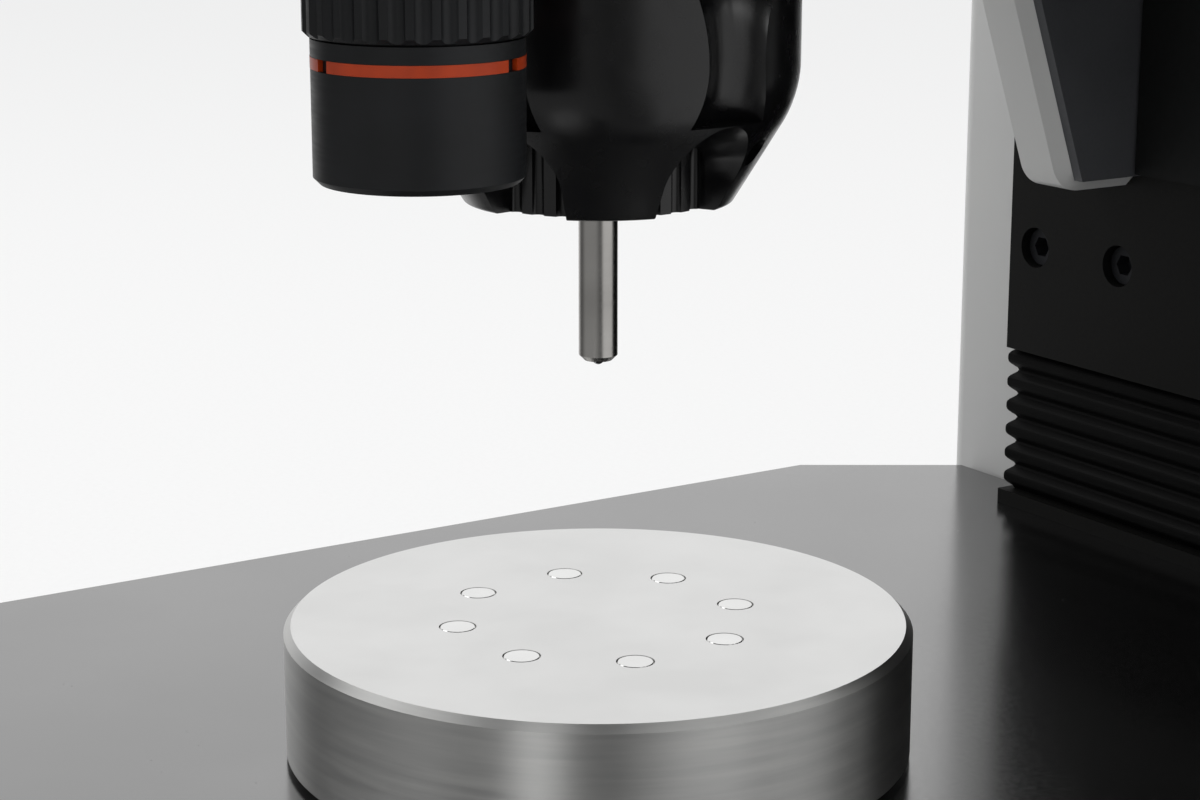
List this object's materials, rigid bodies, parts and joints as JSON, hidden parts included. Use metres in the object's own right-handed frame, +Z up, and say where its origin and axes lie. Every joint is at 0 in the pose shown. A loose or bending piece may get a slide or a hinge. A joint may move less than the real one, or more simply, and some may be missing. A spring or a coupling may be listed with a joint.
{
  "type": "bench hardness tester",
  "caption": "Bench indentation tester: motor-driven head on a guarded column, a turning changer with a five-armed indenter holder and a camera lens, over a round steel anvil on a flat table.",
  "frame": {"origin": "on the bench (the plane of the feet), at the middle of the whole object's footprint; the test axis is 98.2 mm in front of it", "axes": "+Z up along the test axis, +Y towards the column and the rear, -Y towards the operator, +X to the operator's right when facing the machine"},
  "size_m": [0.322, 0.6204, 0.912],
  "materials": {
    "light_grey_paint": "fine satin paint on steel sheet",
    "grey_hood_plastic": "painted moulding, satin",
    "grey_painted_iron": "smooth light-grey paint on iron",
    "black_table_paint": "semi-gloss black on a ground plate",
    "black_satin_steel": "satin black",
    "black_arm_iron": "dark primer",
    "dark_panel_plastic": "dark satin plastic",
    "ground_steel": "ground and polished",
    "guide_steel": "ground, oiled",
    "black_oxide_steel": "black oxide",
    "changer_aluminium": "dark anodised",
    "black_anodised": "black anodised, satin",
    "actuator_paint": "black housings",
    "accent_red": "orange-red enamel ring",
    "bellows_rubber": "coated fabric, matt",
    "foot_rubber": "steel stud and pad with a black rubber sole",
    "lens_glass": "coated lens",
    "red_button": "red plastic",
    "green_button": "green plastic",
    "black_plastic": "black plastic"
  },
  "bodies": {
    "stand": {"levelling_feet": "foot_rubber", "foot_locknuts": "guide_steel", "base_bottom_plate": "black_satin_steel", "base_casting": "grey_painted_iron", "work_table": "black_table_paint", "column_casting": "black_arm_iron", "column_bolts": "black_oxide_steel", "guide_rails": "guide_steel", "column_side_left": "light_grey_paint", "column_side_right": "light_grey_paint", "rear_cover": "light_grey_paint", "rear_cover_screws": "black_oxide_steel", "column_cap": "grey_hood_plastic", "guide_end_block": "black_satin_steel", "lower_bellows": "bellows_rubber", "upper_bellows": "bellows_rubber", "bellows_foot": "black_satin_steel", "screw_bearing_blocks": "changer_aluminium", "lift_motor": "actuator_paint", "drive_belt": "bellows_rubber", "control_bezels": "black_plastic", "power_inlet": "black_plastic"},
    "screw": {"ball_screw": "guide_steel", "screw_pulley": "changer_aluminium"},
    "motor_rotor": {"motor_pulley": "changer_aluminium"},
    "anvil_body": {"anvil": "ground_steel", "anvil_pins": "ground_steel"},
    "head": {"carriage_plate": "black_satin_steel", "carriage_screws": "black_oxide_steel", "guide_blocks": "guide_steel", "ball_nut": "guide_steel", "head_arm": "black_arm_iron", "changer_bearings": "guide_steel", "head_cheek_left": "light_grey_paint", "head_cheek_right": "light_grey_paint", "cheek_panel_left": "dark_panel_plastic", "cheek_panel_right": "dark_panel_plastic", "head_hood": "grey_hood_plastic", "head_floor": "dark_panel_plastic", "load_actuator": "actuator_paint"},
    "ram": {"load_ram": "ground_steel"},
    "changer": {"changer_disc": "changer_aluminium", "changer_shaft": "ground_steel", "lens_barrel": "black_anodised", "accent_ring": "accent_red", "lens_glass": "lens_glass", "overview_camera": "black_anodised", "measuring_objective": "black_anodised", "measuring_camera": "black_anodised"},
    "focus": {"focus_ring": "black_anodised"},
    "load_unit": {"load_spindle": "ground_steel", "load_cell": "actuator_paint", "indenter_holder": "black_satin_steel", "indenter_clamp_screw": "black_oxide_steel", "indenter": "ground_steel", "indenter_ball": "ground_steel"},
    "stop": {"stop_button": "red_button"},
    "start": {"start_button": "green_button"},
    "rocker": {"power_rocker": "black_plastic"}
  },
  "joints": [
    {"name": "head_lift", "type": "slide", "parent": "stand", "child": "head", "axis": [0, 0, 1], "range_m": [-0.018, 0.2], "deforming": ["lower_bellows", "upper_bellows"]},
    {"name": "screw_turn", "type": "hinge", "parent": "stand", "child": "screw", "pos_m": [0, 0.1398, 0.1], "axis": [0, 0, 1], "continuous": true},
    {"name": "motor_turn", "type": "hinge", "parent": "stand", "child": "motor_rotor", "pos_m": [0, 0.2538, 0.1], "axis": [0, 0, 1], "continuous": true},
    {"name": "anvil_lift", "type": "slide", "parent": "stand", "child": "anvil_body", "axis": [0, 0, 1], "range_m": [0, 0.03]},
    {"name": "changer_turn", "type": "hinge", "parent": "head", "child": "changer", "pos_m": [0, -0.1537, 0.4], "axis": [0, 0, 1], "range_deg": [-105, 105]},
    {"name": "load_stroke", "type": "slide", "parent": "changer", "child": "load_unit", "axis": [0, 0, -1], "range_m": [0, 0.006], "stiffness_N_per_m": 8000, "springref_m": -0.006},
    {"name": "ram_stroke", "type": "slide", "parent": "head", "child": "ram", "axis": [0, 0, -1], "range_m": [0, 0.006]},
    {"name": "focus_turn", "type": "hinge", "parent": "changer", "child": "focus", "pos_m": [0.05368, -0.16778, 0.322], "axis": [0, 0, 1], "range_deg": [-75, 75]},
    {"name": "stop_press", "type": "slide", "parent": "stand", "child": "stop", "axis": [0, 1, 0], "range_m": [0, 0.005], "stiffness_N_per_m": 2000, "springref_m": -0.002},
    {"name": "start_press", "type": "slide", "parent": "stand", "child": "start", "axis": [0, 1, 0], "range_m": [0, 0.003], "stiffness_N_per_m": 1000, "springref_m": -0.002},
    {"name": "rocker_tilt", "type": "hinge", "parent": "stand", "child": "rocker", "pos_m": [-0.04, 0.3048, 0.074], "axis": [0, 0, 1], "range_deg": [-6, 6]}
  ],
  "couplings": [
    {"joint": "screw_turn", "follows": "head_lift", "rad_per_m": -628.32},
    {"joint": "motor_turn", "follows": "head_lift", "rad_per_m": -785.4},
    {"joint": "ram_stroke", "follows": "load_stroke", "ratio": 1}
  ]
}
